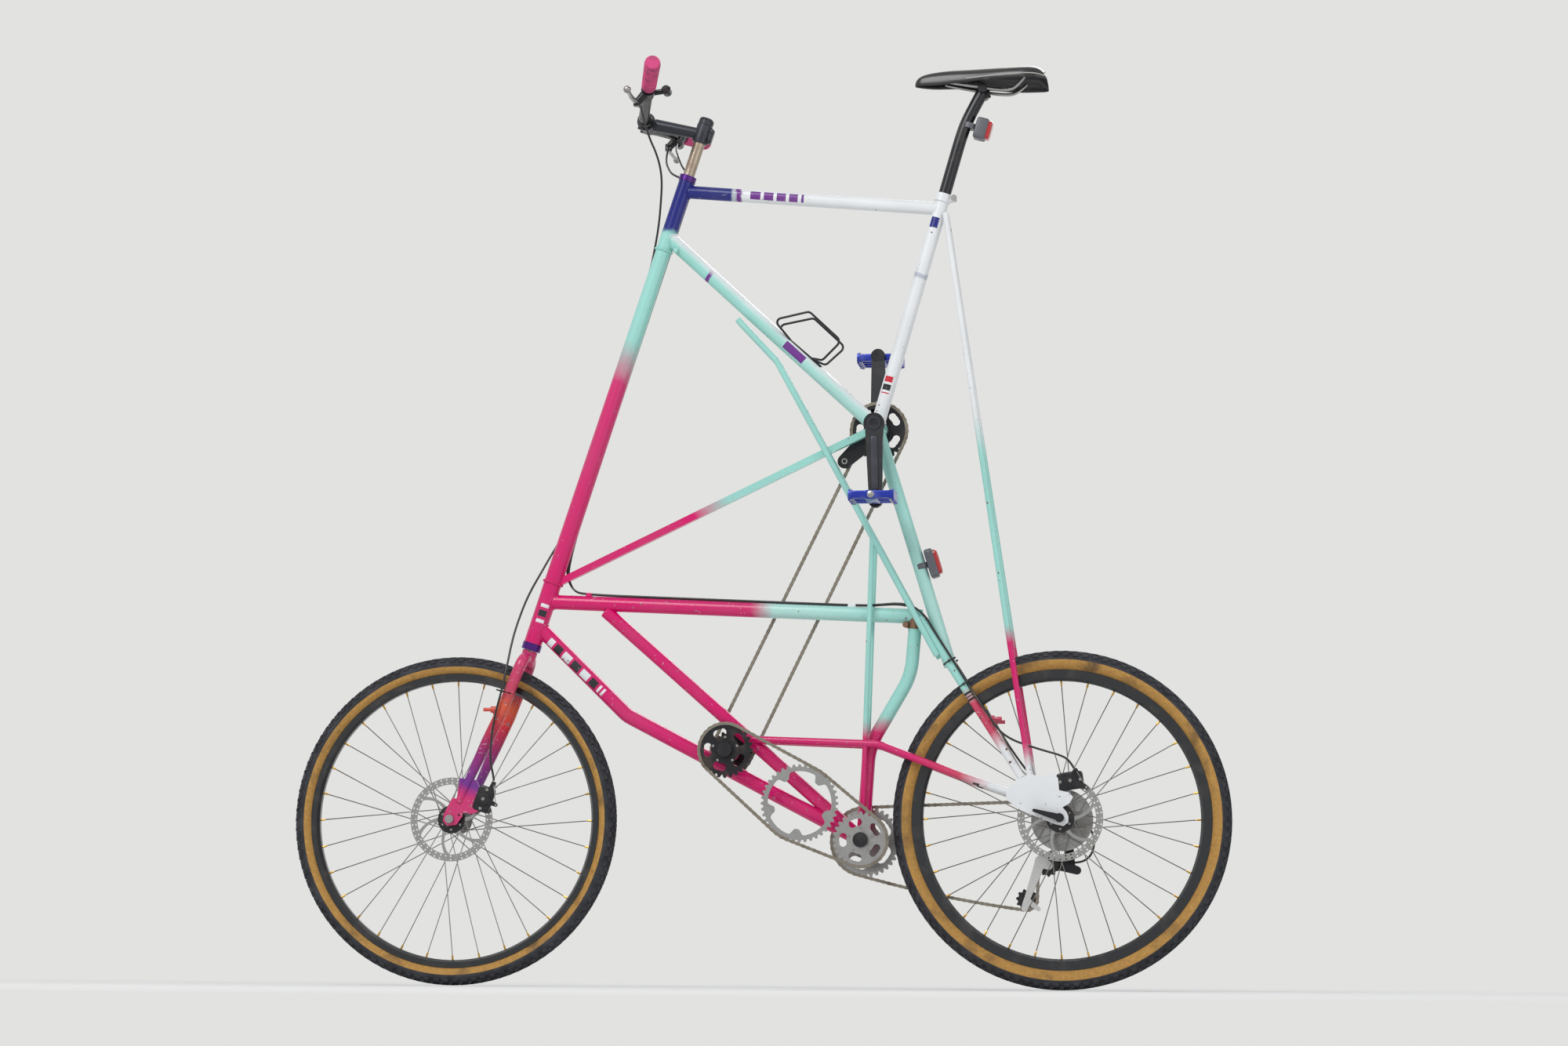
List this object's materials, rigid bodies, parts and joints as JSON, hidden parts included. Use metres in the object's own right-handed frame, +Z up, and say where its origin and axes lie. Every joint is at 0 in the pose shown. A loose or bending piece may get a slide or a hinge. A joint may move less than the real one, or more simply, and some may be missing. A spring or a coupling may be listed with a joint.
{
  "type": "tall bicycle",
  "caption": "Tall bicycle welded from two frames stacked on one long steering column, with a high saddle and crank and a stepped chain drive.",
  "frame": {"origin": "point on top of the saddle where the rider sits", "axes": "+X to the rear of the bicycle, +Y to the rider's right, +Z up"},
  "size_m": [2.0214, 0.7198, 1.9943],
  "materials": {
    "mint_paint": "gloss",
    "pink_paint": "gloss",
    "white_paint": "gloss",
    "fork_paint": "gloss",
    "steel": "satin",
    "black_metal": "satin",
    "chain_steel": "satin",
    "lever_alloy": "satin",
    "pedal_blue": "satin",
    "grip_rubber": "matte",
    "tyre_rubber": "matte",
    "saddle_cover": "gloss",
    "light_plastic": "gloss"
  },
  "bodies": {
    "frame": {"head_column": "mint_paint", "headset_cups": "black_metal", "bracket_shells": "mint_paint", "upper_seat_tube": "white_paint", "upper_top_tube": "white_paint", "upper_down_tube": "mint_paint", "lower_seat_tube": "mint_paint", "lower_top_tube": "pink_paint", "lower_down_tube": "pink_paint", "jackshaft_strut": "mint_paint", "seat_extension_tube": "mint_paint", "diagonal_brace": "mint_paint", "rear_dropouts": "white_paint", "seat_stays": "white_paint", "chain_stays": "mint_paint", "upper_stays": "white_paint", "side_braces": "mint_paint", "drop_struts": "mint_paint", "seat_post": "black_metal", "saddle": "saddle_cover", "saddle_rails": "steel", "long_chain": "chain_steel", "near_chain": "chain_steel", "rear_chain": "chain_steel", "derailleur": "black_metal", "chain_idler": "black_metal", "rear_axle": "steel", "rear_caliper": "black_metal", "rear_lights": "light_plastic", "bottle_cage": "steel"},
    "steering": {"fork_crown": "fork_paint", "fork_blades": "fork_paint", "steerer": "steel", "stem": "black_metal", "handlebar": "black_metal", "grips": "grip_rubber", "brake_levers": "lever_alloy", "front_caliper": "black_metal", "front_axle": "steel"},
    "front_wheel": {"front_tyre": "tyre_rubber", "front_rim": "black_metal", "front_spoked_hub": "steel", "front_rotor": "steel"},
    "rear_wheel": {"rear_tyre": "tyre_rubber", "rear_rim": "black_metal", "rear_spoked_hub": "steel", "rear_rotor": "steel"},
    "cassette_body": {"cassette": "steel"},
    "crank": {"crank_arms": "black_metal", "upper_chainring": "black_metal"},
    "left_pedal_body": {"left_pedal": "pedal_blue"},
    "right_pedal_body": {"right_pedal": "pedal_blue"},
    "jackshaft_body": {"jackshaft": "black_metal"},
    "lower_axle_body": {"lower_axle": "steel"},
    "ghost_ring_body": {"ghost_ring": "steel"}
  },
  "joints": [
    {"name": "steering_turn", "type": "hinge", "parent": "frame", "child": "steering", "pos_m": [-0.96526, 0, -1.19], "axis": [0.3057, 0, 0.9521], "range_deg": [-50, 50]},
    {"name": "front_wheel_spin", "type": "hinge", "parent": "steering", "child": "front_wheel", "pos_m": [-1.149, 0, -1.636], "axis": [0, 1, 0], "continuous": true},
    {"name": "rear_wheel_spin", "type": "hinge", "parent": "frame", "child": "rear_wheel", "pos_m": [0.16, 0, -1.632], "axis": [0, 1, 0], "continuous": true},
    {"name": "crank_spin", "type": "hinge", "parent": "frame", "child": "crank", "pos_m": [-0.236, 0, -0.788], "axis": [0, 1, 0], "continuous": true},
    {"name": "left_pedal_spin", "type": "hinge", "parent": "crank", "child": "left_pedal_body", "pos_m": [-0.23007, -0.132, -0.9579], "axis": [0, 1, 0], "continuous": true},
    {"name": "right_pedal_spin", "type": "hinge", "parent": "crank", "child": "right_pedal_body", "pos_m": [-0.24193, 0.132, -0.6181], "axis": [0, 1, 0], "continuous": true},
    {"name": "jackshaft_spin", "type": "hinge", "parent": "frame", "child": "jackshaft_body", "pos_m": [-0.554, 0, -1.487], "axis": [0, 1, 0], "continuous": true},
    {"name": "lower_axle_spin", "type": "hinge", "parent": "frame", "child": "lower_axle_body", "pos_m": [-0.262, 0, -1.678], "axis": [0, 1, 0], "continuous": true},
    {"name": "ghost_ring_spin", "type": "hinge", "parent": "frame", "child": "ghost_ring_body", "pos_m": [-0.393, 0, -1.601], "axis": [0, 1, 0], "continuous": true},
    {"name": "cassette_spin", "type": "hinge", "parent": "frame", "child": "cassette_body", "pos_m": [0.16, 0, -1.632], "axis": [0, 1, 0], "continuous": true}
  ],
  "couplings": [
    {"joint": "jackshaft_spin", "follows": "crank_spin", "ratio": 1.3636},
    {"joint": "lower_axle_spin", "follows": "crank_spin", "ratio": 1.3636},
    {"joint": "ghost_ring_spin", "follows": "crank_spin", "ratio": 0.95454},
    {"joint": "cassette_spin", "follows": "crank_spin", "ratio": 2.3377}
  ]
}
